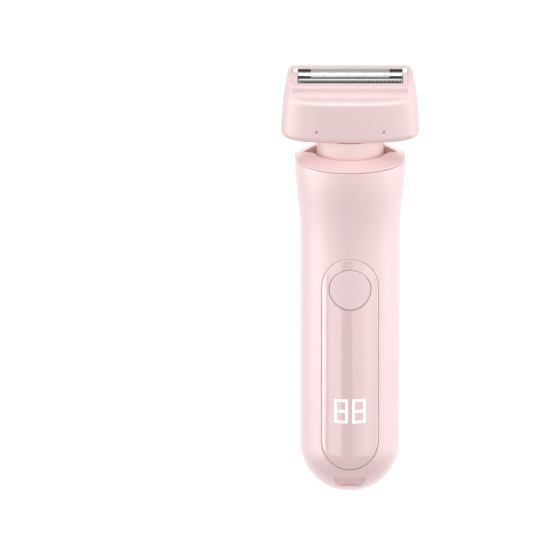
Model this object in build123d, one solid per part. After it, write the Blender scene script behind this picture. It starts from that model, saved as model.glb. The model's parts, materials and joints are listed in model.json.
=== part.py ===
from build123d import *
import os
from math import copysign, cos, pi, radians, sin, sqrt

# Cordless lady shaver: a round one-hand handle with a display panel, and a lift-off foil head.
# Millimetres. The origin is the centre of the flat base, +Z runs up the handle's axis,
# the button and display face -Y, and X runs across the foil.

# --- driving dimensions -------------------------------------------------------------------

# Handle body
BODY_R = 19.0            # grip radius
DOME_Z = 17.23           # centre of the round bottom end above the base
WALL = 1.8
GRIP_TOP_Z = 97.0        # the grip is parallel up to here, then flares
RIM_R = 21.1             # widest point, at the collar
SHELL_TOP_Z = 130.1
RIM_EDGE = 0.35          # rounding of the shell's top edge
FLOOR_Z = 2.6            # inside floor over the charging port
BORE_R = 19.0            # seat for bulkhead and collar at the top
BORE_Z = 118.0

# Collar
COLLAR_GAP = 0.12
COLLAR_TOP_Z = 133.0
SOCKET_R = 13.05         # bore that takes the head's neck
SOCKET_OUTER_R = 15.0
SOCKET_BOTTOM_Z = 121.2
KEY_WIDTH = 2.4
KEY_REACH_R = 13.9
DIP_END_X = 18.0         # outer point of the collar's two finger dips
DIP_HALF_WIDTH = 6.0
DIP_DEPTH = 2.3

# Front panel, button and display
PANEL_HALF_WIDTH = 10.75
PANEL_TOP_Z = 95.5
PANEL_TOP_END = 12.4     # height of the elliptical upper end
PANEL_BOTTOM_Z = 11.4
PANEL_BOTTOM_END = 10.55
PANEL_THICK = 1.0
PANEL_SEAM = 0.16
PANEL_EDGE = 0.6         # rounding of the panel's rim
DIGIT_DEPTH = 0.6
BUTTON_Z = 83.2
BUTTON_R = 7.8
BUTTON_GAP = 0.24
BUTTON_EDGE = 0.35
BUTTON_FLANGE_R = 9.2
BUTTON_FACE_R = 26.0     # crown radius of the button's face, flatter than the body
DIGIT_Z = 35.0
DIGIT_WIDTH = 5.1
DIGIT_HEIGHT = 9.4
DIGIT_PITCH = 6.85
DIGIT_STROKE = 0.9

# Inside the handle
BOARD_FRONT_Y = -9.0
BOARD_THICK = 1.6
BOARD_HALF_WIDTH = 11.0
BOARD_Z = (16.0, 88.5)
BATTERY_R = 7.0          # 14500 cell
BATTERY_Y = 4.0
BATTERY_Z = (18.0, 68.0)
MOTOR_R = 10.0
MOTOR_Z = (93.5, 117.8)
SHAFT_R = 1.0
RUNNING_GAP = 0.05
BULKHEAD_Z = (118.2, 120.2)
SCREW_RING_R = 17.0
BOARD_SCREW_X = 8.5
BOARD_SCREW_Z = (24.0, 70.0)
MOTOR_SCREW_X = 6.5
TERMINAL_X = 5.5

# Charging port
USB_WIDTH = 8.94         # USB-C receptacle shell
USB_DEPTH = 3.26
USB_Z = (1.9, 9.3)
COVER_SIZE = (12.7, 9.7, 1.15)
COVER_Z = 0.25
ANCHOR_Y = 5.7
NOTCH_TOP_Z = 7.4        # finger-nail notch low on the front
NOTCH_HALF_WIDTH = 6.0

# Head
HEAD_BOTTOM_Z = 139.3
HEAD_SQUARENESS = 2.8    # superellipse exponent of the head's plan
HEAD_SECTIONS = [(139.3, 26.5, 13.6), (149.1, 25.95, 13.45), (158.0, 24.95, 12.9), (165.4, 23.5, 12.2)]
SHELF_Z = 155.3
NECK_R = 12.73
NECK_Z = 124.0
HEAD_WALL = 1.6
DECK_BACK_Z = 164.9
BLOCK_HALF_DEPTH = 8.2
HEAD_EDGE = 1.0          # rounding round the top block and along the shelf
SHELF_REACH_Y = 11.6     # where the shelf turns up into the cove
GUIDE_Y = 5.0
GUIDE_Z = 151.6
BASE_SCREW_X = 17.0
MARK_X = 12.8
MARK_Z = 144.1

# Cutting parts
FOIL_R = 2.92
FOIL_Z = 162.4           # centre of the foil's arch
FOIL_THICK = 0.25
FOIL_HALF_LENGTH = 19.7
CAP_END_X = 21.8
COMB_BACK = (-3.05, 162.25)
COMB_FRONT = (-5.7, 161.55)
COMB_THICK = 0.35
TOOTH_PITCH = 1.0
TOOTH_GAP = 0.5
TOOTH_LENGTH = 1.4
STROKE = 1.2             # half of the cutters' side-to-side travel
CUTTER_SPRING_X = 8.0
CASSETTE_SPRING_X = 20.3

LOW = (Align.CENTER, Align.CENTER, Align.MIN)


# --- shape helpers ------------------------------------------------------------------------

def rod(radius, z_low, z_high, x=0.0, y=0.0):
    return Pos(x, y, z_low) * Cylinder(radius, z_high - z_low, align=LOW)


def tube(outer, inner, z_low, z_high, x=0.0, y=0.0):
    return rod(outer, z_low, z_high, x, y) - rod(inner, z_low - 1, z_high + 1, x, y)


def block(x, y, z):
    """Box from (low, high) pairs along each axis."""
    size = Box(x[1] - x[0], y[1] - y[0], z[1] - z[0])
    return Pos((x[0] + x[1]) / 2, (y[0] + y[1]) / 2, (z[0] + z[1]) / 2) * size


def rounded_block(width, depth, z_low, z_high, corner, y=0.0):
    face = Pos(0, y, z_low) * RectangleRounded(width, depth, corner)
    return extrude(face, z_high - z_low)


def turned(*edges):
    """Solid of revolution about Z. The edges run in (radius, height)."""
    return revolve(Plane.XZ * make_face(Curve() + list(edges)), Axis.Z)


def turned_polygon(*points):
    return revolve(Plane.XZ * make_face(Polyline(*points, close=True)), Axis.Z)


def front_prism(face, y_near, y_far):
    """Solid from a face drawn in (x, z), running along Y between two depths."""
    return Pos(0, y_near, 0) * extrude(Plane.XZ * face, y_near - y_far)


def both_sides(solid):
    return [solid, mirror(solid, Plane.YZ)]


def superellipse(half_x, half_y, z, count=40):
    points = []
    for index in range(count):
        turn = 2 * pi * index / count
        x = half_x * copysign(abs(cos(turn)) ** (2 / HEAD_SQUARENESS), cos(turn))
        y = half_y * copysign(abs(sin(turn)) ** (2 / HEAD_SQUARENESS), sin(turn))
        points.append((x, y))
    return Pos(0, 0, z) * make_face(Spline(*points, periodic=True))


def spring(radius, wire_r, turns, z_low, z_high, x=0.0, y=0.0):
    height = z_high - z_low - 2 * wire_r
    path = Helix(height / turns, height, radius)
    section = Plane(origin=path @ 0, z_dir=path % 0) * Circle(wire_r)
    return Pos(x, y, z_low + wire_r) * sweep(section, path)


def screw(shank_r, length, head_r, head_h, x, y, z_head, up=True):
    """Pan-head screw standing on its seat at z_head, its cross recess in the head."""
    shank = rod(shank_r, -length, 0)
    head = fillet(rod(head_r, 0, head_h).edges().group_by(Axis.Z)[-1], head_h * 0.4)
    bar = Box(head_r * 1.1, head_r * 0.28, head_h, align=LOW)
    recess = Pos(0, 0, head_h * 0.5) * (bar + Rot(0, 0, 90) * bar)
    whole = shank + head - recess
    if not up:
        whole = Rot(180, 0, 0) * whole
    return Pos(x, y, z_head) * whole


def body_solid(inset):
    """The handle's outer form, drawn in by inset, from below the base up to the shell's top."""
    radius = BODY_R - inset
    flare = Spline(
        (radius, GRIP_TOP_Z), (19.95 - inset, 113.6), (RIM_R - inset, 127.5),
        tangents=[(0, 1), (0, 1)],
    )
    edges = [
        CenterArc((0, DOME_Z), radius, -90, 90),
        Line((radius, DOME_Z), (radius, GRIP_TOP_Z)),
        flare,
        Line((RIM_R - inset, 127.5), (RIM_R - inset, SHELL_TOP_Z)),
        Line((RIM_R - inset, SHELL_TOP_Z), (0, SHELL_TOP_Z)),
        Line((0, SHELL_TOP_Z), (0, DOME_Z - radius)),
    ]
    return turned(*edges)


def panel_outline(grow):
    """Long panel with rounded ends, in (x, z)."""
    half = PANEL_HALF_WIDTH + grow
    top = PANEL_TOP_Z - PANEL_TOP_END
    bottom = PANEL_BOTTOM_Z + PANEL_BOTTOM_END
    edges = [
        EllipticalCenterArc((0, top), half, PANEL_TOP_END + grow, 0, arc_size=180),
        Line((-half, top), (-half, bottom)),
        EllipticalCenterArc((0, bottom), half, PANEL_BOTTOM_END + grow, 180, arc_size=180),
        Line((half, bottom), (half, top)),
    ]
    return make_face(Curve() + edges)


def digit_outline(x, grow):
    """Figure eight of straight strokes, in (x, z)."""
    outer = Rectangle(DIGIT_WIDTH + 2 * grow, DIGIT_HEIGHT + 2 * grow)
    hole_width = DIGIT_WIDTH - 2 * DIGIT_STROKE - 2 * grow
    hole_height = (DIGIT_HEIGHT - 3 * DIGIT_STROKE) / 2 - 2 * grow
    rise = (hole_height + DIGIT_STROKE) / 2 + grow
    hole = Rectangle(hole_width, hole_height)
    return Pos(x, DIGIT_Z) * (outer - Pos(0, rise) * hole - Pos(0, -rise) * hole)


def head_loft(inset, z_low=None, z_high=None):
    sections = []
    for z, half_x, half_y in HEAD_SECTIONS:
        sections.append(superellipse(half_x - inset, half_y - inset, z))
    solid = loft(sections)
    if z_low is not None:
        solid = solid & block((-40, 40), (-40, 40), (z_low, z_high))
    return solid


def sloped_strip(front, back, half_x, drop, thick):
    """Flat strip along X that slopes from front to back, dropped below the comb's top."""
    points = [
        (front[0], front[1] - drop), (back[0], back[1] - drop),
        (back[0], back[1] - drop - thick), (front[0], front[1] - drop - thick),
    ]
    face = Plane.YZ * make_face(Polyline(*points, close=True))
    return extrude(face, half_x, both=True)


# --- handle -------------------------------------------------------------------------------

OUTER = body_solid(0)
OUTER = fillet(OUTER.edges().group_by(Axis.Z)[-1], RIM_EDGE)
PANEL_BED = body_solid(PANEL_THICK + 0.03)


def handle_shell():
    inner_dome_r = BODY_R - WALL
    floor_r = sqrt(inner_dome_r ** 2 - (DOME_Z - FLOOR_Z) ** 2)
    hollow = turned(
        Line((0, FLOOR_Z), (floor_r, FLOOR_Z)),
        ThreePointArc(
            (floor_r, FLOOR_Z),
            (inner_dome_r * cos(radians(-30)), DOME_Z + inner_dome_r * sin(radians(-30))),
            (inner_dome_r, DOME_Z),
        ),
        Polyline(
            (inner_dome_r, DOME_Z), (inner_dome_r, 100.0), (BORE_R, BORE_Z),
            (BORE_R, SHELL_TOP_Z + 5), (0, SHELL_TOP_Z + 5), (0, FLOOR_Z),
        ),
    )
    hollow = hollow - block((-7.5, 7.5), (-18, -11.9), (FLOOR_Z, NOTCH_TOP_Z + 2.2))
    shell = OUTER - hollow - block((-20, 20), (-20, 20), (-10, 0))
    recess = front_prism(panel_outline(PANEL_SEAM), 0, -30) - PANEL_BED
    button_hole = front_prism(Pos(0, BUTTON_Z) * Circle(BUTTON_FLANGE_R + 0.4), -5, -30)
    display_hole = front_prism(Pos(0, DIGIT_Z) * Rectangle(15.6, 12.2), -5, -30)
    shell = shell - recess - button_hole - display_hole
    shell = shell - port_cuts() - nail_notch()
    for sign in (-1, 1):
        post = rod(2.3, 108, BULKHEAD_Z[0] - 0.1, y=sign * SCREW_RING_R)
        post = (post & rod(BORE_R + 0.6, 100, 125)) - rod(0.95, 110, 125, y=sign * SCREW_RING_R)
        shell = shell + post
    return shell


def port_cuts():
    width, depth, _ = COVER_SIZE
    bed = rounded_block(width + 0.3, depth + 0.3, -1, 1.45, 3.1)
    tail = block((-2.7, 2.7), (3, 6.4), (-1, 1.45))
    mouth = rounded_block(USB_WIDTH + 0.4, USB_DEPTH + 0.4, 0, FLOOR_Z + 1, 1.75)
    anchor_hole = rod(0.65, 0, FLOOR_Z + 1, y=ANCHOR_Y)
    return bed + tail + mouth + anchor_hole


def nail_notch():
    """Finger-nail scoop low on the front: deepest under its straight upper edge."""
    top = NOTCH_TOP_Z
    slope = Plane.YZ * make_face(Polyline((-11.6, 2.6), (-13.9, top), (-19.5, top), close=True))
    half = NOTCH_HALF_WIDTH
    width = Polyline((-half, top), (half, top), (half - 1.2, 2.5), (1.2 - half, 2.5), close=True)
    return extrude(slope, 10, both=True) & front_prism(make_face(width), -5, -25)


def finger_dips():
    """Two wedges beside the neck, falling from a point near the rim to the socket."""
    plan = Polyline((DIP_END_X, 0), (12, DIP_HALF_WIDTH), (12, -DIP_HALF_WIDTH), close=True)
    plan = Pos(0, 0, 125) * extrude(make_face(plan), 12)
    floor = Polyline((DIP_END_X + 0.5, 132.3), (12, 132.3 - DIP_DEPTH), (12, 136), close=True)
    wedge = extrude(Plane.XZ * make_face(floor), DIP_HALF_WIDTH + 1, both=True)
    return both_sides(plan & wedge)


def collar_ring():
    bottom = SHELL_TOP_Z + COLLAR_GAP
    ring = turned(
        Polyline(
            (SOCKET_R, SOCKET_BOTTOM_Z), (SOCKET_OUTER_R, SOCKET_BOTTOM_Z),
            (SOCKET_OUTER_R, bottom), (17.0, bottom), (17.0, 124.0), (BORE_R - 0.06, 124.0),
            (BORE_R - 0.06, bottom), (RIM_R - 0.3, bottom),
        ),
        ThreePointArc((RIM_R - 0.3, bottom), (RIM_R, bottom + 0.3), (RIM_R - 0.5, bottom + 0.65)),
        ThreePointArc((RIM_R - 0.5, bottom + 0.65), (18.4, 132.0), (15.6, COLLAR_TOP_Z)),
        ThreePointArc((15.6, COLLAR_TOP_Z), (14.4, 133.15), (13.5, 132.75)),
        Polyline((13.5, 132.75), (SOCKET_R, 132.3), (SOCKET_R, SOCKET_BOTTOM_Z)),
    )
    slot = block((-14.2, 14.2), (-KEY_WIDTH / 2 - 0.2, KEY_WIDTH / 2 + 0.2), (120, 135))
    return ring - slot - finger_dips()


def front_panel():
    panel = (front_prism(panel_outline(0), 0, -30) & OUTER) - body_solid(PANEL_THICK)
    under = body_solid(PANEL_THICK / 2)
    rim = [edge for edge in panel.edges() if not under.is_inside(edge @ 0.5)]
    panel = fillet(ShapeList(rim), PANEL_EDGE)
    panel = panel - front_prism(Pos(0, BUTTON_Z) * Circle(BUTTON_R + BUTTON_GAP), 0, -30)
    pocket_floor = body_solid(DIGIT_DEPTH + 0.02)
    for sign in (-1, 1):
        pocket = front_prism(digit_outline(sign * DIGIT_PITCH / 2, 0.02), -5, -30)
        panel = panel - (pocket - pocket_floor)
    return panel


def display_digits():
    sheet = OUTER - body_solid(DIGIT_DEPTH)
    digits = []
    for sign in (-1, 1):
        digits.append(front_prism(digit_outline(sign * DIGIT_PITCH / 2, 0), -5, -30) & sheet)
    return digits


def display_diffuser():
    space = body_solid(PANEL_THICK + 0.05)
    return front_prism(Pos(0, DIGIT_Z) * Rectangle(15.0, 11.6), -13.05, -30) & space


def display_module():
    body = block((-8, 8), (-13.0, BOARD_FRONT_Y), (DIGIT_Z - 6.5, DIGIT_Z + 6.5))
    wells = []
    for sign in (-1, 1):
        wells.append(front_prism(digit_outline(sign * DIGIT_PITCH / 2, 0.1), -11.5, -14))
    return body - wells


def button_seal():
    ring = Circle(9.1) - Circle(BUTTON_R + 0.15)
    band = body_solid(PANEL_THICK + 0.02) - body_solid(PANEL_THICK + 0.32)
    return front_prism(Pos(0, BUTTON_Z) * ring, -5, -30) & band


def power_button():
    crown = rod(BUTTON_FACE_R, BUTTON_Z - 12, BUTTON_Z + 12, y=BUTTON_FACE_R - 18.95)
    cap = front_prism(Pos(0, BUTTON_Z) * Circle(BUTTON_R), -5, -30) & crown
    cap = fillet(cap.edges().group_by(Axis.Y)[0], BUTTON_EDGE)
    back = rod(16.6, BUTTON_Z - 12, BUTTON_Z + 12)
    flange = front_prism(Pos(0, BUTTON_Z) * Circle(BUTTON_FLANGE_R), -5, -30)
    flange = flange & rod(17.5, BUTTON_Z - 12, BUTTON_Z + 12)
    stem = front_prism(Pos(0, BUTTON_Z) * Circle(2.5), -13.45, -17.2)
    return (cap + flange) - back + stem


def switch_plunger():
    return front_prism(Pos(0, BUTTON_Z) * Circle(1.75), -12.0, -13.4)


def tact_switch():
    body = block((-3, 3), (-12.6, BOARD_FRONT_Y), (BUTTON_Z - 3, BUTTON_Z + 3))
    legs = []
    for x in (-3.3, 3.3):
        for rise in (-2.2, 2.2):
            z = BUTTON_Z + rise
            legs.append(block((x - 0.35, x + 0.35), (-9.6, BOARD_FRONT_Y), (z - 0.4, z + 0.4)))
    return body + legs - front_prism(Pos(0, BUTTON_Z) * Circle(1.9), -11.0, -14)


def chassis():
    half = 13.4
    plate = block((-half, half), (-6.0, -4.6), (13.0, 92.0))
    rails = both_sides(block((half, half + 1.4), (-6.0, 7.0), (13.0, 92.0)))
    frame = plate + rails
    for z in (21.0, 43.0, 65.0):
        rib = block((-half, half), (-4.6, 5.5), (z - 1, z + 1))
        frame = frame + (rib - rod(BATTERY_R + 0.2, z - 2, z + 2, y=BATTERY_Y))
    for z in BOARD_SCREW_Z:
        for x in (-BOARD_SCREW_X, BOARD_SCREW_X):
            boss = front_prism(Pos(x, z) * Circle(1.8), -5.5, BOARD_FRONT_Y + BOARD_THICK)
            frame = frame + boss
            frame = frame - front_prism(Pos(x, z) * Circle(0.75), -4, BOARD_FRONT_Y)
    for x in (-9.5, 9.5):
        frame = frame + block((x - 1.2, x + 1.2), (-5.5, 1.5), (10.7, 14.0))
    for x, z in ((0, BATTERY_Z[1] + 5), (-TERMINAL_X, 85.0), (TERMINAL_X, 85.0)):
        frame = frame - front_prism(Pos(x, z) * Circle(0.8), -4, -7)
    cradle = tube(MOTOR_R + 1.5, MOTOR_R + 0.1, 92.0, BULKHEAD_Z[0])
    ledge = tube(MOTOR_R + 1.5, MOTOR_R - 1.2, 90.6, 92.0)
    bridge = block((-half, half), (-6.0, 7.0), (90.6, 92.0)) - rod(MOTOR_R, 85, 95)
    disc = rod(BORE_R - 0.12, *BULKHEAD_Z) - rod(4.2, 110, 125)
    seat = block((-6, 6), (13, 30), (95, BULKHEAD_Z[0]))
    window = block((-6, 6), (-30, -8), (94, 112)) + seat - rod(MOTOR_R - 3, 90, 120)
    frame = frame + (cradle - window) + ledge + bridge + disc
    for sign in (-1, 1):
        frame = frame - rod(1.15, 115, 125, y=sign * SCREW_RING_R)
        frame = frame - rod(1.1, 115, 125, x=sign * MOTOR_SCREW_X)
    return frame


def chassis_screws():
    screws = []
    for sign in (-1, 1):
        screws.append(screw(0.93, 8, 1.75, 1.4, 0, sign * SCREW_RING_R, BULKHEAD_Z[1]))
    return screws


def motor_screws():
    return [screw(0.95, 3.0, 1.7, 1.1, sign * MOTOR_SCREW_X, 0, BULKHEAD_Z[1]) for sign in (-1, 1)]


def main_board():
    back = BOARD_FRONT_Y + BOARD_THICK
    width = (-BOARD_HALF_WIDTH, BOARD_HALF_WIDTH)
    board = block(width, (BOARD_FRONT_Y, back), BOARD_Z)
    board = fillet(board.edges().filter_by(Axis.Y), 1.5)
    for z in BOARD_SCREW_Z:
        for x in (-BOARD_SCREW_X, BOARD_SCREW_X):
            board = board - front_prism(Pos(x, z) * Circle(0.95), -5, -12)
    return board


def board_chips():
    sizes = [(0, 56, 7, 7, 0.9), (-6, 46, 3, 5, 1.2), (6, 46, 4, 4, 1.0), (5.5, 64, 3, 3, 1.8)]
    chips = []
    for x, z, width, height, rise in sizes:
        x_span = (x - width / 2, x + width / 2)
        z_span = (z - height / 2, z + height / 2)
        chips.append(block(x_span, (BOARD_FRONT_Y - rise, BOARD_FRONT_Y), z_span))
    return chips


def board_screws():
    screws = []
    for z in BOARD_SCREW_Z:
        for x in (-BOARD_SCREW_X, BOARD_SCREW_X):
            upright = screw(0.72, 3.0, 1.5, 0.9, 0, 0, 0)
            screws.append(Pos(x, BOARD_FRONT_Y, z) * Rot(90, 0, 0) * upright)
    return screws


def battery_cell():
    low, high = BATTERY_Z
    can = fillet(rod(BATTERY_R, low, high, y=BATTERY_Y).edges(), 0.6)
    return can + rod(2.6, high, high + 0.7, y=BATTERY_Y)


def battery_tabs():
    low, high = BATTERY_Z
    tabs = []
    for z_low, z_high in ((low - 0.3, low - 0.05), (high + 0.75, high + 1.0)):
        tabs.append(block((-1.8, 1.8), (-2.8, BATTERY_Y + 2.5), (z_low, z_high)))
    return tabs


def lead(radius, bend, *points):
    """Insulated wire: straight runs joined by tangent arcs."""
    path = FilletPolyline(*points, radius=bend)
    section = Plane(origin=path @ 0, z_dir=path % 0) * Circle(radius)
    return sweep(section, path)


def battery_leads():
    """One wire from each tab, past the chassis's edge to the back of the board."""
    low, high = BATTERY_Z
    back = BOARD_FRONT_Y + BOARD_THICK
    upper = lead(0.5, 1.6, (0, 0.5, high + 1.05), (0, 0.5, high + 5), (0, back + 0.05, high + 5))
    lower = lead(0.5, 1.6, (0, 0.5, low - 0.35), (0, 0.5, low - 6.2), (0, back + 0.05, low - 6.2))
    return [upper, lower]


def motor_leads():
    leads = []
    back = BOARD_FRONT_Y + BOARD_THICK + 0.05
    for x in (-TERMINAL_X, TERMINAL_X):
        leads.append(lead(0.45, 1.2, (x, -0.7, 88.0), (x, -0.7, 85.0), (x, back, 85.0)))
    return leads


def motor_can():
    low, high = MOTOR_Z
    can = rod(MOTOR_R, low, high) - rod(MOTOR_R - 0.8, low - 1, high - 1.0)
    can = can - rod(2.4, high - 3, high + 1)
    return can - [rod(0.95, high - 3, high + 1, x=x) for x in (-MOTOR_SCREW_X, MOTOR_SCREW_X)]


def motor_magnets():
    ring = tube(MOTOR_R - 0.85, 7.4, 98.0, 114.0)
    gap = block((-20, 20), (-2.4, 2.4), (90, 120))
    return ring - gap


def motor_end_bell():
    low = MOTOR_Z[0]
    cup = rod(MOTOR_R - 0.95, low - 1.4, low + 1.6) - rod(SHAFT_R + RUNNING_GAP, low - 5, low + 5)
    return cup + tube(2.6, SHAFT_R + RUNNING_GAP, low - 2.4, low - 1.4)


def motor_terminals():
    low = MOTOR_Z[0] - 1.4
    tabs = []
    for x in (-TERMINAL_X, TERMINAL_X):
        tab = block((x - 1.1, x + 1.1), (-0.2, 0.2), (low - 4.2, low))
        tabs.append(tab - Pos(x, 0, low - 3.0) * Rot(90, 0, 0) * Cylinder(0.5, 2))
    return tabs


def motor_bushing():
    high = MOTOR_Z[1]
    bush = tube(2.38, SHAFT_R + RUNNING_GAP, high - 2.6, high + 1.6)
    return bush


def motor_seal():
    low, high = BULKHEAD_Z
    return turned_polygon(
        (2.45, low + 0.4), (4.1, low + 0.4), (4.1, high), (4.65, high), (4.65, high + 1.0),
        (SHAFT_R + 0.08, high + 1.5), (SHAFT_R + 0.08, high + 0.7), (2.45, high + 0.2),
    )


def motor_shaft():
    return rod(SHAFT_R, MOTOR_Z[0] - 1.6, 127.5)


def motor_armature():
    core = rod(6.7, 99.0, 113.0)
    for index in range(3):
        slot = block((2.6, 8), (-0.7, 0.7), (95, 116))
        mouth = rod(1.9, 95, 116, x=4.6)
        core = core - Rot(0, 0, 120 * index + 60) * (slot + mouth)
    return core - rod(SHAFT_R, 90, 120)


def motor_commutator():
    ring = tube(2.4, SHAFT_R, 95.6, 98.2)
    for index in range(3):
        ring = ring - Rot(0, 0, 120 * index) * block((1.6, 3), (-0.15, 0.15), (95, 98.3))
    return ring


def hexagon(across_flats, z_low, z_high):
    face = Pos(0, 0, z_low) * RegularPolygon(across_flats / 2, 6, major_radius=False)
    return extrude(face, z_high - z_low)


def drive_coupling():
    hub = rod(3.6, 122.3, 123.6) + hexagon(5.0, 123.6, 129.0)
    hub = hub & turned_polygon((0, 122), (4, 122), (4, 128), (2.2, 129.1), (0, 129.1))
    return hub - rod(SHAFT_R, 120, 127.5)


def usb_socket():
    low, high = USB_Z
    outer = rounded_block(USB_WIDTH, USB_DEPTH, low, high, 1.5)
    return outer - rounded_block(8.34, 2.56, low - 1, high - 1.0, 1.2)


def usb_tongue():
    return block((-3.35, 3.35), (-0.35, 0.35), (USB_Z[0] + 0.9, USB_Z[1] - 1.0))


def charge_board():
    board = rod(11.0, USB_Z[1] + 0.05, USB_Z[1] + 1.25)
    return board


def port_gasket():
    ring = rounded_block(13.0, 7.2, FLOOR_Z, FLOOR_Z + 2.2, 3.0)
    return ring - rounded_block(USB_WIDTH + 0.06, USB_DEPTH + 0.06, 0, 10, 1.52)


def cover_anchor():
    strap = block((-2.4, 2.4), (5.05, 6.25), (COVER_Z, 1.4))
    stem = rod(0.6, 1.0, FLOOR_Z + 0.9, y=ANCHOR_Y)
    return strap + stem + rod(1.3, FLOOR_Z + 0.05, FLOOR_Z + 1.0, y=ANCHOR_Y)


def port_cover():
    width, depth, thick = COVER_SIZE
    lid = rounded_block(width, depth, COVER_Z, COVER_Z + thick, 2.95)
    lid = chamfer(lid.edges().group_by(Axis.Z)[0], 0.25)
    lip = rounded_block(7.6, 2.2, 1.0, 1.75, 1.0)
    return lid + lip


# --- head ---------------------------------------------------------------------------------

def head_section():
    """Side outline of the head in (y, z): wide body, shelf, cove and narrow top block."""
    half = BLOCK_HALF_DEPTH
    reach = SHELF_REACH_Y
    outline = [
        Polyline((20, 130), (-20, 130), (-20, SHELF_Z), (-reach, SHELF_Z + 0.35)),
        ThreePointArc((-reach, SHELF_Z + 0.35), (-9.15, 156.9), (-half, 159.4)),
        ThreePointArc((-half, 159.4), (-7.9, 160.5), (-6.95, 161.15)),
        Line((-6.95, 161.15), (-1.8, 164.45)),
        Line((-1.8, 164.45), (6.0, DECK_BACK_Z)),
        ThreePointArc((6.0, DECK_BACK_Z), (7.6, 164.2), (half, 162.6)),
        Line((half, 162.6), (half, 159.4)),
        ThreePointArc((half, 159.4), (9.15, 156.9), (reach, SHELF_Z + 0.35)),
        Polyline((reach, SHELF_Z + 0.35), (20, SHELF_Z), (20, 130)),
    ]
    return extrude(Plane.YZ * make_face(Curve() + outline), 30, both=True)


def head_outer():
    body = head_loft(0)
    body = fillet(body.edges().group_by(Axis.Z)[0], 2.6)
    body = body & head_section()
    side = body.faces().sort_by(SortBy.AREA)[-1]
    rim = [edge for edge in side.edges() if edge.bounding_box().min.Z > GUIDE_Z]
    return fillet(ShapeList(rim), HEAD_EDGE)


def head_shell(outer):
    lower = head_loft(HEAD_WALL, 141.9, 153.8)
    upper = rounded_block(44.4, 13.0, 153, 160.6, 2.0)
    foil_slot = block((-19.95, 19.95), (-3.2, 3.2), (160, 170))
    cap_slot = block((-22.0, 22.0), (-2.15, 2.15), (160, 170))
    comb_slot = block((-19.95, 19.95), (-6.35, -3.0), (160, 170))
    seat = rounded_block(44.2, 20.2, 130, 140.85, 7.1)
    opening = rounded_block(41.0, 17.0, 130, 145, 6.0)
    shell = outer - lower - upper - foil_slot - cap_slot - comb_slot - seat - opening
    return shell - mark_solids(0.02, 13.9)


def mark_solids(grow, y_out):
    marks = []
    for x in (-MARK_X, MARK_X):
        arrow = Pos(x, MARK_Z) * RegularPolygon(0.75 + grow, 3, rotation=90)
        marks.append(front_prism(arrow, -12.55, -y_out))
    return marks


def lock_marks(outer):
    return [mark & outer for mark in mark_solids(0, 14)]


def head_base():
    plate = rounded_block(44.0, 20.0, HEAD_BOTTOM_Z, 140.75, 7.0)
    inner = rounded_block(40.6, 16.6, 140.7, 142.2, 5.8)
    neck = tube(NECK_R, NECK_R - 1.5, NECK_Z, HEAD_BOTTOM_Z)
    neck = neck - tube(NECK_R + 1, NECK_R - 1.02, 126.8, 128.2)
    boss = rod(4.2, 137.0, 145.5) - rod(2.4, 130, 150)
    webs = block((-11.6, 11.6), (-0.7, 0.7), (137.0, 139.5)) + block(
        (-0.7, 0.7), (-11.6, 11.6), (137.0, 139.5)
    )
    webs = webs - rod(3, 130, 145)
    keys = both_sides(block((NECK_R - 1, KEY_REACH_R), (-KEY_WIDTH / 2, KEY_WIDTH / 2), (124.6, 126.4)))
    posts = both_sides(block((16.8, 20.2), (-6.2, 6.2), (142.0, 154.0)))
    towers = both_sides(rod(2.2, 142.0, 154.0, x=CASSETTE_SPRING_X) & block((-22, 22), (-3, 3), (140, 154)))
    base = plate + inner - rod(NECK_R - 1.5, 130, 139.9) - rod(2.4, 130, 150)
    base = base + neck + boss + webs + keys + posts + towers
    for y in (-GUIDE_Y, GUIDE_Y):
        rod_hole = Pos(0, y, GUIDE_Z) * Rot(0, 90, 0) * Cylinder(0.76, 38.2)
        base = base - rod_hole
    for x in (-BASE_SCREW_X, BASE_SCREW_X):
        base = base - rod(2.0, 130, 140.2, x=x) - rod(0.95, 130, 148, x=x)
    return base


def base_screws():
    return [screw(0.9, 6.5, 1.8, 0.8, x, 0, 140.15, up=False) for x in (-BASE_SCREW_X, BASE_SCREW_X)]


def head_oring():
    ring = Rot(90, 0, 0) * Circle(0.62)
    return revolve(Pos(12.36, 0, 127.5) * ring, Axis.Z)


def guide_rods():
    return [Pos(0, y, GUIDE_Z) * Rot(0, 90, 0) * Cylinder(0.75, 38.0) for y in (-GUIDE_Y, GUIDE_Y)]


def shaft_bushing():
    return tube(2.38, SHAFT_R + RUNNING_GAP, 137.0, 145.5)


def head_shaft():
    return rod(SHAFT_R, 130.0, 147.6)


def shaft_coupling():
    cup = rod(4.6, 124.6, 131.6) - hexagon(5.3, 124, 129.4) - rod(SHAFT_R, 130.0, 135)
    return chamfer(cup.edges().group_by(Axis.Z)[-1], 0.3)


def eccentric_cam():
    weight = rod(5.0, 145.9, 147.4) & block((-5, 5), (1.0, 5), (145, 149))
    disc = rod(3.6, 145.9, 148.4) + weight + rod(1.0, 148.0, 152.4, y=-STROKE)
    return disc - rod(SHAFT_R, 140, 147.6)


def oscillating_bridge():
    body = rounded_block(26.0, 12.6, 149.6, 154.0, 1.5)
    body = body - block((-3.7, 3.7), (-2.6, 2.6), (149, 152.9))
    for y in (-GUIDE_Y, GUIDE_Y):
        body = body - Pos(0, y, GUIDE_Z) * Rot(0, 90, 0) * Cylinder(0.75 + RUNNING_GAP, 40)
    arm = block((-3.2, 3.2), (-6.3, -4.75), (153.5, 159.4))
    arm = arm - block((-1.65, 1.65), (-8, -4), (156.4, 161))
    return body + arm + [rod(1.5, 153.8, 159.9, x=x) for x in (-CUTTER_SPRING_X, CUTTER_SPRING_X)]


def cutter_springs():
    return [spring(2.0, 0.22, 5, 154.05, 158.85, x=x) for x in (-CUTTER_SPRING_X, CUTTER_SPRING_X)]


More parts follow.
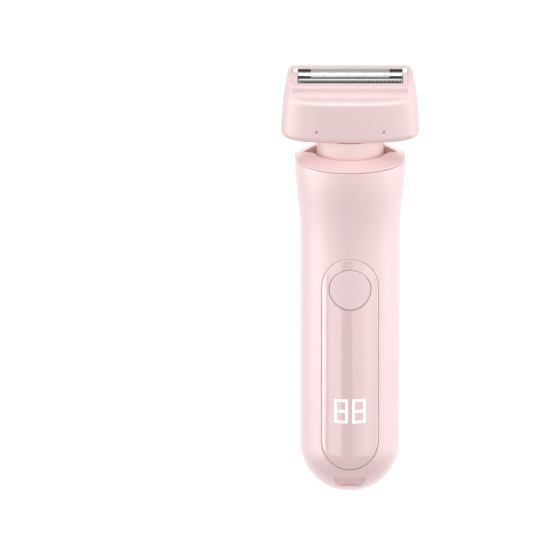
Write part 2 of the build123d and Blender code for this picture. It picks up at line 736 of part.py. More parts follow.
def cassette_springs():
    return [spring(1.2, 0.2, 3.5, 154.05, 156.45, x=x) for x in (-CASSETTE_SPRING_X, CASSETTE_SPRING_X)]


def inner_cutter():
    half = 15.6
    arch = Rot(0, 90, 0) * Cylinder(2.58, 2 * half)
    arch = Pos(0, 0, FOIL_Z) * arch & block((-half, half), (-3, 3), (FOIL_Z, 170))
    stem = block((-half, half), (-2.2, 2.2), (158.9, FOIL_Z + 0.1))
    gaps = []
    count = 24
    for index in range(count):
        x = (index - (count - 1) / 2) * 2 * half / (count + 1)
        gaps.append(block((x - 0.32, x + 0.32), (-3, 3), (FOIL_Z - 0.4, 170)))
    holes = [rod(1.7, 158, 161.2, x=x) for x in (-CUTTER_SPRING_X, CUTTER_SPRING_X)]
    return arch + stem - gaps - holes


def cassette_frame():
    frame = rounded_block(43.4, 8.6, 156.5, 158.5, 1.0)
    rails = block((-19.7, 19.7), (-4.3, 4.3), (158.4, 160.5))
    opening = block((-18.7, 18.7), (-2.97, 2.97), (150, 170))
    frame = frame + rails - opening
    frame = frame - block((-20, 20), (-2.97, 2.97), (158.9, 170))
    for sign in (-1, 1):
        span = sorted((sign * (FOIL_HALF_LENGTH + 0.03), sign * CAP_END_X))
        cap = block(span, (-1.95, 1.95), (158.0, 164.85))
        frame = frame + fillet(cap.edges().group_by(Axis.Z)[-1], 0.3)
        pillar_span = sorted((sign * 18.6, sign * 19.6))
        frame = frame + block(pillar_span, (-5.3, -4.2), (158.4, 160.3))
    return frame


def shaver_foil():
    ring = Circle(FOIL_R) - Circle(FOIL_R - FOIL_THICK)
    arch = ring & Pos(0, 5) * Rectangle(20, 10)
    wall = Rectangle(FOIL_THICK, FOIL_Z - 159.0, align=(Align.MIN, Align.MAX))
    walls = Pos(FOIL_R - FOIL_THICK, 0) * wall + Pos(-FOIL_R, 0) * wall
    profile = Plane.YZ * (Pos(0, FOIL_Z) * (arch + walls))
    return extrude(profile, FOIL_HALF_LENGTH, both=True)


def toothed(strip, half_x, y_tip, length, pitch, gap):
    count = int(2 * half_x / pitch)
    cuts = []
    for index in range(count):
        x = (index - (count - 1) / 2) * pitch
        cuts.append(block((x - gap / 2, x + gap / 2), (y_tip - 1, y_tip + length), (155, 170)))
    return strip - cuts


def trimmer_comb():
    strip = sloped_strip(COMB_FRONT, COMB_BACK, 19.6, 0, COMB_THICK)
    strip = toothed(strip, 19.3, COMB_FRONT[0], TOOTH_LENGTH, TOOTH_PITCH, TOOTH_GAP)
    feet = both_sides(block((18.7, 19.5), (-5.2, -4.4), (160.32, 161.5)))
    return strip + feet


def trimmer_blade():
    strip = sloped_strip((-5.6, COMB_FRONT[1]), (-3.3, COMB_BACK[1]), 17.2, COMB_THICK + 0.07, 0.35)
    strip = toothed(strip, 17.0, -5.6, TOOTH_LENGTH, TOOTH_PITCH * 1.25, TOOTH_GAP)
    tab = block((-1.5, 1.5), (-5.55, -5.05), (157.6, 161.0))
    return strip + tab


# --- write one STEP per piece -------------------------------------------------------------

def save(name, shape):
    solids = shape if isinstance(shape, (list, tuple)) else [shape]
    parts = []
    for item in solids:
        parts = parts + list(item.solids())
    whole = parts[0] if len(parts) == 1 else Compound(children=parts)
    export_step(whole, f"parts/{name}.step")


os.makedirs("parts", exist_ok=True)
HEAD_OUTER = head_outer()

save("handle_shell", handle_shell())
save("collar_ring", collar_ring())
save("front_panel", front_panel())
save("display_digits", display_digits())
save("display_diffuser", display_diffuser())
save("display_module", display_module())
save("button_seal", button_seal())
save("power_button", power_button())
save("switch_plunger", switch_plunger())
save("tact_switch", tact_switch())
save("chassis", chassis())
save("chassis_screws", chassis_screws())
save("motor_screws", motor_screws())
save("main_board", main_board())
save("board_chips", board_chips())
save("board_screws", board_screws())
save("battery_cell", battery_cell())
save("battery_tabs", battery_tabs())
save("battery_leads", battery_leads())
save("motor_leads", motor_leads())
save("motor_can", motor_can())
save("motor_magnets", motor_magnets())
save("motor_end_bell", motor_end_bell())
save("motor_terminals", motor_terminals())
save("motor_bushing", motor_bushing())
save("motor_seal", motor_seal())
save("motor_shaft", motor_shaft())
save("motor_armature", motor_armature())
save("motor_commutator", motor_commutator())
save("drive_coupling", drive_coupling())
save("usb_socket", usb_socket())
save("usb_tongue", usb_tongue())
save("charge_board", charge_board())
save("port_gasket", port_gasket())
save("cover_anchor", cover_anchor())
save("port_cover", port_cover())
save("head_shell", head_shell(HEAD_OUTER))
save("lock_marks", lock_marks(HEAD_OUTER))
save("head_base", head_base())
save("base_screws", base_screws())
save("head_oring", head_oring())
save("guide_rods", guide_rods())
save("shaft_bushing", shaft_bushing())
save("head_shaft", head_shaft())
save("shaft_coupling", shaft_coupling())
save("eccentric_cam", eccentric_cam())
save("oscillating_bridge", oscillating_bridge())
save("cutter_springs", cutter_springs())
save("cassette_springs", cassette_springs())
save("inner_cutter", inner_cutter())
save("cassette_frame", cassette_frame())
save("shaver_foil", shaver_foil())
save("trimmer_comb", trimmer_comb())
save("trimmer_blade", trimmer_blade())
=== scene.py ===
import json
import math

import bmesh
import bpy
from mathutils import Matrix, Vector

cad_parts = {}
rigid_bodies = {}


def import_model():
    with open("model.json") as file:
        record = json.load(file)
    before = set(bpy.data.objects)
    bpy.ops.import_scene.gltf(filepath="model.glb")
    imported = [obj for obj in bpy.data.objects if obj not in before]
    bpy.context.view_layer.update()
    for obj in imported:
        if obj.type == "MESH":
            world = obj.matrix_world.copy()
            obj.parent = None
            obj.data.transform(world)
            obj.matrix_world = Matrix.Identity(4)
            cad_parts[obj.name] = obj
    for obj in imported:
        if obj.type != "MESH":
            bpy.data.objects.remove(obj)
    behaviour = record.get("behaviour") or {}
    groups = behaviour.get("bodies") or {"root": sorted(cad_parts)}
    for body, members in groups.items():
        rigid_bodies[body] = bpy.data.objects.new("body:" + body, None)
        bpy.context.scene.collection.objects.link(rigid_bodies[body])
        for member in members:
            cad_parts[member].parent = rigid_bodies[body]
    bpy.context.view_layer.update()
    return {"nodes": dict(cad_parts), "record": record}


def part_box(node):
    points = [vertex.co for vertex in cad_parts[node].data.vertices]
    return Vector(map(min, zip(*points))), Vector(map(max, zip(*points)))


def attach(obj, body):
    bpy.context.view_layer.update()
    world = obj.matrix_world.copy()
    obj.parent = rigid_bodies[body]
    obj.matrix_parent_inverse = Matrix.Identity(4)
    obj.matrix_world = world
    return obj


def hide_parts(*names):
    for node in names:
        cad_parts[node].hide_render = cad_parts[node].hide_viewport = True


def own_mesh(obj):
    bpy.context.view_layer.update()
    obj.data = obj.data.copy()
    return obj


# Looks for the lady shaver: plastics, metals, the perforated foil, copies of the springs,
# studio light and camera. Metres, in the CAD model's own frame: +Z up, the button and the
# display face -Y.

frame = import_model()
NODES = frame["nodes"]

# --- camera and studio, driving values ----------------------------------------------------

PICTURE_WIDTH = 0.20938          # across the picture, at the object
CAMERA_ELEVATION = 17.5          # degrees above the horizon
CAMERA_DISTANCE = 10.0
CAMERA_REACH = 50.0
SENSOR = 0.036
MM_PER_METRE = 1000
AIM = Vector((-0.0283, 0.0, 0.0832))   # the object stands right of the picture's centre

# Heights and leans of a direction run from -1 (straight down) to 1 (straight up).
FILL_BELOW = 0.7                 # soft light on matt surfaces from below and from above
FILL_ABOVE = 1.07
FILL_LOW = -0.8                  # heights of direction where the fill reaches those values
FILL_HIGH = 0.9
ROOM_IN_GLOSS = 0.06             # what shiny surfaces see: a dark room with a white wall behind
WALL_IN_GLOSS = 1.8
WALL_LEAN = 0.6                  # the white wall runs on forward as a white floor
WALL_STARTS = 0.55
WALL_FULL = 0.8
WORLD_TINT = (1.0, 0.995, 0.99, 1)

BOX_TINT = (1.0, 0.985, 0.965)
SIDE_BOX_DISTANCE = 1.0
SIDE_BOX_TOP = 0.9
SIDE_BOX_BOTTOM = -0.36

FLOOR_REACH = 6.0
FLOOR_COLOUR = (0.35, 0.35, 0.35, 1)
FLOOR_GLOW = 0.86

# --- materials, driving values ------------------------------------------------------------

NOISE_LOW = 0.3                  # the middle of a noise field, which is spread over a range
NOISE_HIGH = 0.7

DRIFT_SCALE = 35                 # of the noise in moulded plastic: tint, gloss and skin
GLOSS_SCALE = 220
GLOSS_SPREAD = 0.03
SKIN_SCALE = 2600
SKIN_STRENGTH = 0.35
FINE_DETAIL = 0.6
SUBSURFACE_RADIUS = (0.004, 0.002, 0.0015)
SUBSURFACE_SCALE = 0.6

LINE_SCALE = 900                 # of the brushing lines in metal
LINE_DETAIL = 0.65
LINE_STRENGTH = 0.3
SMOOTHEST = 0.75                 # shares of a metal's roughness, in its lines
ROUGHEST = 1.3
METAL_GRAIN = 0.00001

LIGHT_SCALE = 400
LIGHT_EDGE = (0.9, 0.9, 0.9)

# Painted highlight: a lighter line painted into the head's base colour along its shelf edge.
SHELF_Z = 0.1551                 # the rounded shelf edge across the head's front, with a painted highlight line
SHELF_HIGHLIGHT_HALF = 0.0012              # half height of its painted highlight line
SHELF_ENDS_Y = -0.0072           # the painted highlight fades out where the front turns into the sides
SHELF_FULL_Y = -0.0112
SHELF_HIGHLIGHT_COLOUR = (0.96, 0.8, 0.8)

TOOTH_PITCH = 0.001              # of the trimmer comb
FLANK_START = 0.12               # the painted shade on the tooth flanks, as shares of the pitch from a tooth gap's middle
FLANK_END = 0.34
SPINE_FRONT_Y = -0.0042          # the comb's plain spine, behind its teeth
SPINE_BACK_Y = -0.0036
TOOTH_METALLIC = 0.6
TOOTH_ROUGH = (0.3, 0.42)

PINK_SHELL = (0.872, 0.64, 0.657)
# Collar pink, painted lighter than the shell: painted light offsetting the shade under the head.
PINK_COLLAR_PAINTED_LIGHT = (0.94, 0.69, 0.7)
PINK_PANEL = (0.9, 0.655, 0.665)
PINK_BUTTON = (0.9, 0.69, 0.71)
PINK_HEAD = (0.836, 0.63, 0.64)
# Neck pink, painted lighter: painted light offsetting the shadow under the head.
PINK_NECK_PAINTED_LIGHT = (0.92, 0.71, 0.7)


# --- shader nodes -------------------------------------------------------------------------

def new_material(name):
    material = bpy.data.materials.new(name)
    material.use_nodes = True
    nodes = material.node_tree.nodes
    shader = nodes["Principled BSDF"]
    return material, nodes, material.node_tree.links, shader


def noise_field(nodes, links, scale, detail=2.0, roughness=0.5, stretch=(1, 1, 1)):
    """Noise in the object's own coordinates, in metres, stretched along chosen axes."""
    place = nodes.new("ShaderNodeTexCoord")
    mapping = nodes.new("ShaderNodeMapping")
    mapping.inputs["Scale"].default_value = stretch
    noise = nodes.new("ShaderNodeTexNoise")
    noise.inputs["Scale"].default_value = scale
    noise.inputs["Detail"].default_value = detail
    noise.inputs["Roughness"].default_value = roughness
    links.new(place.outputs["Object"], mapping.inputs["Vector"])
    links.new(mapping.outputs["Vector"], noise.inputs["Vector"])
    return noise.outputs["Fac"]


def axes_of(nodes, links, coordinates):
    """X, Y and Z sockets of the object's own or the world's generated coordinates."""
    place = nodes.new("ShaderNodeTexCoord")
    axes = nodes.new("ShaderNodeSeparateXYZ")
    links.new(place.outputs[coordinates], axes.inputs["Vector"])
    return axes.outputs


def map_range(nodes, links, value, source, target=(0.0, 1.0), smooth=False):
    """A value carried from the source range to the target range, and held at its ends."""
    spread = nodes.new("ShaderNodeMapRange")
    if smooth:
        spread.interpolation_type = "SMOOTHSTEP"
    spread.inputs["From Min"].default_value = source[0]
    spread.inputs["From Max"].default_value = source[1]
    spread.inputs["To Min"].default_value = target[0]
    spread.inputs["To Max"].default_value = target[1]
    links.new(value, spread.inputs["Value"])
    return spread.outputs["Result"]


def ranged(nodes, links, value, low, high):
    """The middle of a noise field, spread from low to high."""
    return map_range(nodes, links, value, (NOISE_LOW, NOISE_HIGH), (low, high))


def math_node(nodes, links, operation, *sockets):
    """A Math node fed by those sockets, in order."""
    node = nodes.new("ShaderNodeMath")
    node.operation = operation
    for index, socket in enumerate(sockets):
        links.new(socket, node.inputs[index])
    return node


def tinted(nodes, links, shader, value, dark, light):
    """Base colour that drifts between two close tints."""
    ramp = nodes.new("ShaderNodeMix")
    ramp.data_type = "RGBA"
    ramp.inputs["A"].default_value = (*dark, 1)
    ramp.inputs["B"].default_value = (*light, 1)
    links.new(value, ramp.inputs["Factor"])
    links.new(ramp.outputs["Result"], shader.inputs["Base Color"])


def drifting(nodes, links, shader, value, colour, drift):
    """Base colour a little darker and lighter than colour, by the share drift."""
    light = tuple(min(1.0, c * (1 + drift)) for c in colour)
    dark = tuple(c * (1 - drift) for c in colour)
    tinted(nodes, links, shader, ranged(nodes, links, value, 0, 1), dark, light)


def bumped(nodes, links, shader, value, strength, distance):
    bump = nodes.new("ShaderNodeBump")
    bump.inputs["Strength"].default_value = strength
    bump.inputs["Distance"].default_value = distance
    links.new(value, bump.inputs["Height"])
    links.new(bump.outputs["Normal"], shader.inputs["Normal"])


# --- materials ----------------------------------------------------------------------------

def moulded(name, colour, rough=0.3, coat=0.0, coat_rough=0.1,
            grain=0.000004, drift=0.01, subsurface=0.0):
    """Injection-moulded plastic: slight colour drift, uneven gloss and a fine skin."""
    material, nodes, links, shader = new_material(name)
    drifting(nodes, links, shader, noise_field(nodes, links, DRIFT_SCALE, 3), colour, drift)
    gloss_field = noise_field(nodes, links, GLOSS_SCALE, 4, FINE_DETAIL)
    low = rough * (1 - GLOSS_SPREAD)
    high = rough * (1 + GLOSS_SPREAD)
    links.new(ranged(nodes, links, gloss_field, low, high), shader.inputs["Roughness"])
    skin = noise_field(nodes, links, SKIN_SCALE, 3, FINE_DETAIL)
    bumped(nodes, links, shader, skin, SKIN_STRENGTH, grain)
    shader.inputs["Coat Weight"].default_value = coat
    shader.inputs["Coat Roughness"].default_value = coat_rough
    shader.inputs["Subsurface Weight"].default_value = subsurface
    shader.inputs["Subsurface Radius"].default_value = SUBSURFACE_RADIUS
    shader.inputs["Subsurface Scale"].default_value = SUBSURFACE_SCALE
    return material


def metal(name, colour, rough=0.25, brush=(1, 1, 1), scale=LINE_SCALE, drift=0.06, metallic=1.0):
    """Metal with brushing or grinding lines along the axes that brush leaves long."""
    material, nodes, links, shader = new_material(name)
    shader.inputs["Metallic"].default_value = metallic
    lines = noise_field(nodes, links, scale, 4, LINE_DETAIL, brush)
    drifting(nodes, links, shader, lines, colour, drift)
    gloss = ranged(nodes, links, lines, rough * SMOOTHEST, rough * ROUGHEST)
    links.new(gloss, shader.inputs["Roughness"])
    bumped(nodes, links, shader, lines, LINE_STRENGTH, METAL_GRAIN)
    return material


def toothed_metal(name, crown, root):
    """Comb steel with painted shade: dark flanks painted at each tooth gap along X, bright crowns
    and spine between.
    """
    material, nodes, links, shader = new_material(name)
    shader.inputs["Metallic"].default_value = TOOTH_METALLIC
    axes = axes_of(nodes, links, "Object")
    teeth = math_node(nodes, links, "PINGPONG", axes["X"])
    teeth.inputs[1].default_value = TOOTH_PITCH / 2
    flank_range = (TOOTH_PITCH * FLANK_START, TOOTH_PITCH * FLANK_END)
    flank = map_range(nodes, links, teeth.outputs["Value"], flank_range)
    spine = map_range(nodes, links, axes["Y"], (SPINE_FRONT_Y, SPINE_BACK_Y))
    bright = math_node(nodes, links, "MAXIMUM", flank, spine)
    tinted(nodes, links, shader, bright.outputs["Value"], root, crown)
    lines = noise_field(nodes, links, LINE_SCALE, 4, LINE_DETAIL, (0.05, 1, 1))
    links.new(ranged(nodes, links, lines, *TOOTH_ROUGH), shader.inputs["Roughness"])
    bumped(nodes, links, shader, lines, LINE_STRENGTH, METAL_GRAIN)
    return material


def glowing(name, colour, strength):
    """Light window of the display."""
    material, nodes, links, shader = new_material(name)
    field = noise_field(nodes, links, LIGHT_SCALE, 2)
    tinted(nodes, links, shader, ranged(nodes, links, field, 0, 1), LIGHT_EDGE, colour)
    shader.inputs["Emission Color"].default_value = (*colour, 1)
    shader.inputs["Emission Strength"].default_value = strength
    shader.inputs["Roughness"].default_value = 0.3
    return material


def painted_shelf_highlight(material):
    """Painted highlight: a lighter line painted into the base colour along the head's shelf edge.
    """
    nodes = material.node_tree.nodes
    links = material.node_tree.links
    base = nodes["Principled BSDF"].inputs["Base Color"]
    axes = axes_of(nodes, links, "Object")
    above = math_node(nodes, links, "SUBTRACT", axes["Z"])
    above.inputs[1].default_value = SHELF_Z
    away = math_node(nodes, links, "ABSOLUTE", above.outputs["Value"])
    highlight_line = map_range(nodes, links, away.outputs["Value"], (SHELF_HIGHLIGHT_HALF, 0.0), smooth=True)
    front = map_range(nodes, links, axes["Y"], (SHELF_ENDS_Y, SHELF_FULL_Y))
    share = math_node(nodes, links, "MULTIPLY", highlight_line, front)
    blend = nodes.new("ShaderNodeMix")
    blend.data_type = "RGBA"
    blend.inputs["B"].default_value = (*SHELF_HIGHLIGHT_COLOUR, 1)
    links.new(base.links[0].from_socket, blend.inputs["A"])
    links.new(share.outputs["Value"], blend.inputs["Factor"])
    links.new(blend.outputs["Result"], base)
    return material


MATERIALS = {
    "shell_pink": moulded(
        "shell_pink", PINK_SHELL, 0.5, coat=0.7, coat_rough=0.42, subsurface=0.1),
    "collar_pink": moulded(
        "collar_pink", PINK_COLLAR_PAINTED_LIGHT, 0.35, coat=0.3, coat_rough=0.2, subsurface=0.1),
    "panel_pink": moulded(
        "panel_pink", PINK_PANEL, 0.2, coat=0.8, coat_rough=0.08, subsurface=0.1),
    "digit_light": glowing("digit_light", (1.0, 1.0, 1.0), 0.4),
    "diffuser_white": moulded("diffuser_white", (0.9, 0.9, 0.9), 0.4),
    "display_black": moulded("display_black", (0.03, 0.03, 0.035), 0.45),
    "seal_rose": moulded("seal_rose", (0.5, 0.13, 0.14), 0.6, grain=0.00002),
    "button_pink": moulded(
        "button_pink", PINK_BUTTON, 0.45, coat=0.3, coat_rough=0.3, subsurface=0.1),
    "switch_black": moulded("switch_black", (0.02, 0.02, 0.02), 0.4),
    "switch_steel": metal("switch_steel", (0.6, 0.6, 0.61), 0.35),
    "chassis_white": moulded("chassis_white", (0.78, 0.78, 0.76), 0.5, grain=0.00004),
    "screw_steel": metal("screw_steel", (0.55, 0.55, 0.56), 0.28, scale=1800),
    "board_green": moulded("board_green", (0.02, 0.13, 0.06), 0.35, grain=0.00003, drift=0.1),
    "chip_black": moulded("chip_black", (0.02, 0.02, 0.022), 0.55),
    "battery_wrap": moulded("battery_wrap", (0.05, 0.16, 0.42), 0.25, coat=0.3),
    "nickel": metal("nickel", (0.66, 0.64, 0.6), 0.22, brush=(1, 1, 0.1)),
    "lead_red": moulded("lead_red", (0.5, 0.02, 0.02), 0.45),
    "lead_black": moulded("lead_black", (0.02, 0.02, 0.02), 0.45),
    "motor_steel": metal("motor_steel", (0.55, 0.55, 0.56), 0.3, brush=(1, 1, 0.05)),
    "magnet_grey": metal("magnet_grey", (0.12, 0.12, 0.13), 0.5, scale=600, drift=0.2),
    "end_bell_white": moulded("end_bell_white", (0.74, 0.73, 0.68), 0.45),
    "terminal_brass": metal("terminal_brass", (0.78, 0.56, 0.22), 0.3),
    "bush_bronze": metal("bush_bronze", (0.5, 0.3, 0.13), 0.4, scale=1500, drift=0.15),
    "seal_white": moulded("seal_white", (0.8, 0.8, 0.8), 0.55, grain=0.00004),
    "shaft_steel": metal("shaft_steel", (0.62, 0.62, 0.63), 0.15, brush=(0.05, 0.05, 1)),
    "armature_copper": metal("armature_copper", (0.5, 0.22, 0.1), 0.35, brush=(1, 1, 0.1)),
    "coupling_white": moulded("coupling_white", (0.85, 0.85, 0.84), 0.35),
    "cover_rose": moulded("cover_rose", (0.84, 0.58, 0.58), 0.55, grain=0.00005),
    # The head's pink carries the painted shelf highlight.
    "head_pink": painted_shelf_highlight(moulded(
        "head_pink", PINK_HEAD, 0.5, coat=0.25, coat_rough=0.45, subsurface=0.12)),
    "mark_rose": moulded("mark_rose", (0.55, 0.16, 0.17), 0.4),
    "neck_pink": moulded(
        "neck_pink", PINK_NECK_PAINTED_LIGHT, 0.5, coat=0.1, coat_rough=0.4, subsurface=0.2),
    "spring_steel": metal("spring_steel", (0.6, 0.6, 0.62), 0.2, scale=2500),
    "cam_white": moulded("cam_white", (0.8, 0.8, 0.79), 0.4),
    "blade_steel": metal("blade_steel", (0.5, 0.5, 0.51), 0.35, brush=(0.05, 1, 1)),
    "cassette_pink": moulded("cassette_pink", (0.95, 0.91, 0.9), 0.35, coat=0.2),
    "foil_steel": metal(
        "foil_steel", (0.76, 0.76, 0.77), 0.25, brush=(0.04, 1, 1), metallic=0.45),
}
END_STEEL = metal("end_steel", (0.45, 0.45, 0.46), 0.12, brush=(0.04, 1, 1))
TRIMMER_STEELS = {
    # The trimmer blade's near-black brown is painted shade: the shadow in the gap under the comb's
    # teeth.
    "trimmer_blade": metal("blade_painted_shade_steel", (0.1, 0.07, 0.065), 0.4, brush=(0.05, 1, 1)),
    # The comb's dark tooth flanks and roots are painted shade between the teeth.
    "trimmer_comb": toothed_metal("comb_steel_painted_shade", (0.86, 0.85, 0.85), (0.05, 0.035, 0.03)),
}


def dress_nodes():
    """Every carried-over CAD node gets the detailed material of its slot or its own steel."""
    for part in frame["record"]["subparts"]:
        name = part["node"]
        materials = NODES[name].data.materials
        materials.clear()
        materials.append(TRIMMER_STEELS.get(name, MATERIALS[part["material_slot"]]))


# --- the perforated foil ------------------------------------------------------------------

FOIL_SHEET = 0.00012             # thickness of the etched sheet
HOLE_PITCH = 0.00065
HOLE_SHARE = 0.56                # hole size over cell size
SOLID_END = 0.0048               # unperforated steel at each end of the foil
HOLES_TO = math.radians(82)      # the holes reach this far down each side of the arch
END_RADIUS_STEP = 0.000006       # the plain sheets lie this much outside the perforated one
SAME_POINT = 0.02                # corners closer than this share of the pitch become one
EMPTY_EDGE = 0.01                # edges under this share of the pitch are taken out
HEX_TURN = math.radians(60)
END_STEPS = 32                   # flats over the arch of the plain ends
BAND_STEPS = 4                   # flats over each plain band below the holes
SHARP_ANGLE = math.radians(50)


def foil_frame():
    """Half length, radius, centre height and lower edge of the CAD foil."""
    low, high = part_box("shaver_foil")
    radius = (high[1] - low[1]) / 2
    return high[0], radius, high[2] - radius, low[2]


def on_arch(x, along, radius, centre_z):
    """Point at arc length along, from the crest, on an arch about the X axis."""
    turn = along / radius
    return Vector((x, radius * math.sin(turn), centre_z + radius * math.cos(turn)))


def hex_sheet(mesh, half_x, half_arc, radius, centre_z):
    """Etched sheet: hexagonal cells with a hole each, clipped to a plain border."""
    row_pitch = HOLE_PITCH * math.sqrt(3) / 2
    reach = HOLE_PITCH / math.sqrt(3)
    rows = int(half_arc / row_pitch) + 1
    columns = int(half_x / HOLE_PITCH) + 2
    for row in range(-rows, rows + 1):
        shift = HOLE_PITCH / 2 if row % 2 else 0.0
        for column in range(-columns, columns + 1):
            x = column * HOLE_PITCH + shift
            along = row * row_pitch
            outer = []
            inner = []
            for corner in range(6):
                turn = HEX_TURN * (corner + 0.5)
                dx = reach * math.cos(turn)
                dy = reach * math.sin(turn)
                cell_x = max(-half_x, min(half_x, x + dx))
                cell_arc = max(-half_arc, min(half_arc, along + dy))
                outer.append(mesh.verts.new(on_arch(cell_x, cell_arc, radius, centre_z)))
                hole = (x + dx * HOLE_SHARE, along + dy * HOLE_SHARE)
                inner.append(hole)
            clear = all(abs(hx) < half_x and abs(hy) < half_arc for hx, hy in inner)
            if not clear:
                mesh.faces.new(outer)
                continue
            rim = [mesh.verts.new(on_arch(hx, hy, radius, centre_z)) for hx, hy in inner]
            for corner in range(6):
                after = (corner + 1) % 6
                mesh.faces.new((outer[corner], outer[after], rim[after], rim[corner]))
    bmesh.ops.remove_doubles(mesh, verts=mesh.verts[:], dist=HOLE_PITCH * SAME_POINT)
    bmesh.ops.dissolve_degenerate(mesh, edges=mesh.edges[:], dist=HOLE_PITCH * EMPTY_EDGE)


def plain_sheet(mesh, x_low, x_high, arc_low, arc_high, radius, centre_z, steps):
    """Unperforated stretch of the arch."""
    grid = []
    for step in range(steps + 1):
        along = arc_low + (arc_high - arc_low) * step / steps
        ends = [on_arch(x, along, radius, centre_z) for x in (x_low, x_high)]
        grid.append([mesh.verts.new(end) for end in ends])
    for near, far in zip(grid, grid[1:]):
        mesh.faces.new((near[0], near[1], far[1], far[0]))


def straight_walls(mesh, half_x, radius, centre_z, bottom_z):
    """The foil's upright stretch under each side of the arch."""
    for side in (-1, 1):
        y = side * radius
        top = [(-half_x, y, centre_z), (half_x, y, centre_z)]
        bottom = [(half_x, y, bottom_z), (-half_x, y, bottom_z)]
        mesh.faces.new([mesh.verts.new(corner) for corner in top + bottom])


def face_outward(mesh, centre_z):
    """Turns every face away from the foil's axis, so that its thickness grows inwards."""
    mesh.normal_update()
    for face in mesh.faces:
        middle = face.calc_center_median()
        axis = Vector((middle.x, 0, min(middle.z, centre_z)))
        if face.normal.dot(middle - axis) < 0:
            face.normal_flip()


def foil_piece(name, mesh, material):
    """Turns sheet geometry into a solid piece of the cassette."""
    data = bpy.data.meshes.new(name)
    mesh.to_mesh(data)
    mesh.free()
    data.materials.append(material)
    for face in data.polygons:
        face.use_smooth = True
    piece = bpy.data.objects.new(name, data)
    bpy.context.scene.collection.objects.link(piece)
    solid = piece.modifiers.new("thickness", "SOLIDIFY")
    solid.thickness = FOIL_SHEET
    solid.offset = -1.0
    sharp = piece.modifiers.new("sharp_edges", "EDGE_SPLIT")
    sharp.split_angle = SHARP_ANGLE
    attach(piece, "cassette")
    return piece


def build_foil():
    half_x, radius, centre_z, bottom_z = foil_frame()
    half_arc = radius * math.pi / 2
    holes_x = half_x - SOLID_END
    holes_arc = radius * HOLES_TO
    etched = bmesh.new()
    hex_sheet(etched, holes_x, holes_arc, radius - END_RADIUS_STEP, centre_z)
    face_outward(etched, centre_z)
    sheet = foil_piece("foil_etched", etched, MATERIALS["foil_steel"])
    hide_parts("shaver_foil")
    plain = bmesh.new()
    for side in (-1, 1):
        ends = sorted((side * holes_x, side * half_x))
        plain_sheet(plain, *ends, -half_arc, half_arc, radius, centre_z, END_STEPS)
        band = sorted((side * holes_arc, side * half_arc))
        plain_sheet(plain, -holes_x, holes_x, *band, radius, centre_z, BAND_STEPS)
    straight_walls(plain, half_x, radius, centre_z, bottom_z)
    bmesh.ops.remove_doubles(plain, verts=plain.verts[:], dist=HOLE_PITCH * SAME_POINT)
    face_outward(plain, centre_z)
    foil_piece("foil_border", plain, END_STEEL)


# --- springs ------------------------------------------------------------------------------

def build_springs():
    """Copies of the spring coils, attached to their joint's parent body in place of the CAD nodes.
    """
    for joint in frame["record"]["behaviour"]["joints"]:
        for change in joint.get("deforming_nodes", []):
            node = change["node"]
            coils = bpy.data.objects.new(node + "_coils", NODES[node].data.copy())
            bpy.context.scene.collection.objects.link(coils)
            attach(coils, joint["parent"])
            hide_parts(node)
            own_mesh(coils)


# --- studio -------------------------------------------------------------------------------

def mixed(nodes, links, factor, second):
    """Number mix from its A socket to second, which is a socket or a number."""
    mix = nodes.new("ShaderNodeMix")
    links.new(factor, mix.inputs["Factor"])
    if isinstance(second, float):
        mix.inputs["B"].default_value = second
    else:
        links.new(second, mix.inputs["B"])
    return mix


def studio_world():
    """White to the camera, soft fill to matt surfaces, and a dim room in reflections."""
    world = bpy.data.worlds.new("studio")
    bpy.context.scene.world = world
    world.use_nodes = True
    nodes = world.node_tree.nodes
    links = world.node_tree.links
    axes = axes_of(nodes, links, "Generated")
    fill = map_range(nodes, links, axes["Z"], (FILL_LOW, FILL_HIGH), (FILL_BELOW, FILL_ABOVE), True)
    behind = math_node(nodes, links, "MULTIPLY_ADD", axes["Z"])
    behind.inputs[1].default_value = -WALL_LEAN
    links.new(axes["Y"], behind.inputs[2])
    wall = (WALL_STARTS, WALL_FULL)
    room_levels = (ROOM_IN_GLOSS, WALL_IN_GLOSS)
    room = map_range(nodes, links, behind.outputs["Value"], wall, room_levels, True)
    rays = nodes.new("ShaderNodeLightPath")
    shiny = mixed(nodes, links, rays.outputs["Is Glossy Ray"], room)
    links.new(fill, shiny.inputs["A"])
    seen = mixed(nodes, links, rays.outputs["Is Camera Ray"], 1.0)
    links.new(shiny.outputs["Result"], seen.inputs["A"])
    background = nodes["Background"]
    background.inputs["Color"].default_value = WORLD_TINT
    links.new(seen.outputs["Result"], background.inputs["Strength"])


def soft_box(name, place, aim, width, height, radiance, matt=True):
    """Rectangular light of an even radiance. Without matt it only shows in reflections."""
    light = bpy.data.lights.new(name, "AREA")
    light.shape = "RECTANGLE"
    light.size = width
    light.size_y = height
    light.color = BOX_TINT
    light.energy = radiance * math.pi * width * height
    holder = bpy.data.objects.new(name, light)
    bpy.context.scene.collection.objects.link(holder)
    holder.location = place
    turn = (Vector(aim) - Vector(place)).to_track_quat("-Z", "Y")
    holder.rotation_euler = turn.to_euler()
    holder.visible_camera = False
    holder.visible_diffuse = matt


def side_box(name, side, y_front, y_back, radiance):
    """Tall reflected panel beside the object, from y_front to y_back."""
    middle = (y_front + y_back) / 2
    middle_z = (SIDE_BOX_TOP + SIDE_BOX_BOTTOM) / 2
    place = (side * SIDE_BOX_DISTANCE, middle, middle_z)
    aim = (0, middle, middle_z)
    height = SIDE_BOX_TOP - SIDE_BOX_BOTTOM
    soft_box(name, place, aim, y_back - y_front, height, radiance, matt=False)


def front_reflection(name, x, y, z, width, height, radiance):
    """Upright panel in front of the object, turned to it, which only shows in reflections."""
    soft_box(name, (x, y, z), (0, 0, z), width, height, radiance, matt=False)


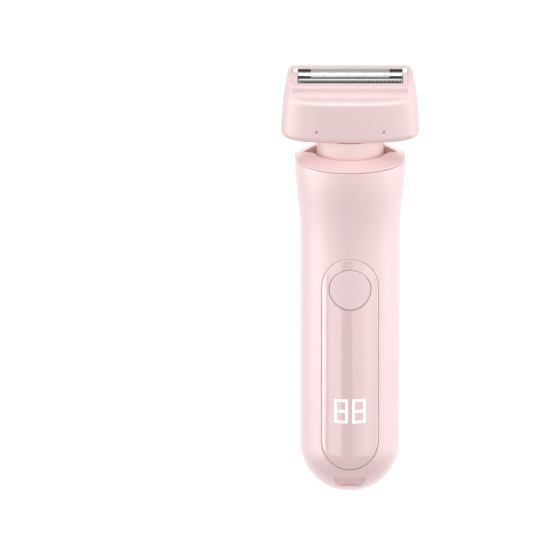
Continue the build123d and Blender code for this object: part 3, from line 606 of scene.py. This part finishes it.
def studio_lights():
    side_box("left_box", -1, -0.7, 0.25, 5.4)
    front_reflection("left_front_box", -0.62, -0.9, 0.25, 0.6, 1.26, 2.2)
    side_box("right_box", 1, -0.45, 0.4, 4.6)
    front_reflection("front_box", 0.66, -1.05, 0.25, 1.28, 1.3, 1.6)
    front_reflection("corner_box", 0.82, -0.72, 0.27, 0.7, 1.26, 1.0)
    soft_box("high_box", (0, -0.98, 1.25), (0, 0, 0.12), 2.4, 1.15, 3.4, matt=False)
    soft_box("top_box", (0, -0.2, 1.3), (0, 0, 0.1), 1.0, 0.8, 0.25)


def studio_floor():
    """Plain white floor that catches the contact shadow and adds no light of its own."""
    mesh = bpy.data.meshes.new("floor")
    far = FLOOR_REACH
    corners = [(-far, -far, 0), (far, -far, 0), (far, far, 0), (-far, far, 0)]
    mesh.from_pydata(corners, [], [(0, 1, 2, 3)])
    floor = bpy.data.objects.new("floor", mesh)
    bpy.context.scene.collection.objects.link(floor)
    material, _, _, shader = new_material("floor_white")
    shader.inputs["Base Color"].default_value = FLOOR_COLOUR
    shader.inputs["Roughness"].default_value = 1.0
    shader.inputs["Specular IOR Level"].default_value = 0.0
    shader.inputs["Emission Color"].default_value = (1, 1, 1, 1)
    shader.inputs["Emission Strength"].default_value = FLOOR_GLOW
    mesh.materials.append(material)
    floor.visible_diffuse = False
    floor.visible_glossy = False
    floor.visible_transmission = False
    floor.visible_shadow = False


def place_camera():
    data = bpy.data.cameras.new("camera")
    data.sensor_width = SENSOR * MM_PER_METRE
    data.lens = SENSOR * MM_PER_METRE * CAMERA_DISTANCE / PICTURE_WIDTH
    data.clip_end = CAMERA_REACH
    camera = bpy.data.objects.new("camera", data)
    bpy.context.scene.collection.objects.link(camera)
    tilt = math.radians(CAMERA_ELEVATION)
    back = Vector((0, -math.cos(tilt), math.sin(tilt)))
    camera.location = AIM + back * CAMERA_DISTANCE
    camera.rotation_euler = (-back).to_track_quat("-Z", "Y").to_euler()
    bpy.context.scene.camera = camera


bpy.context.scene.view_settings.view_transform = "Standard"
dress_nodes()
build_foil()
build_springs()
studio_world()
studio_floor()
studio_lights()
place_camera()
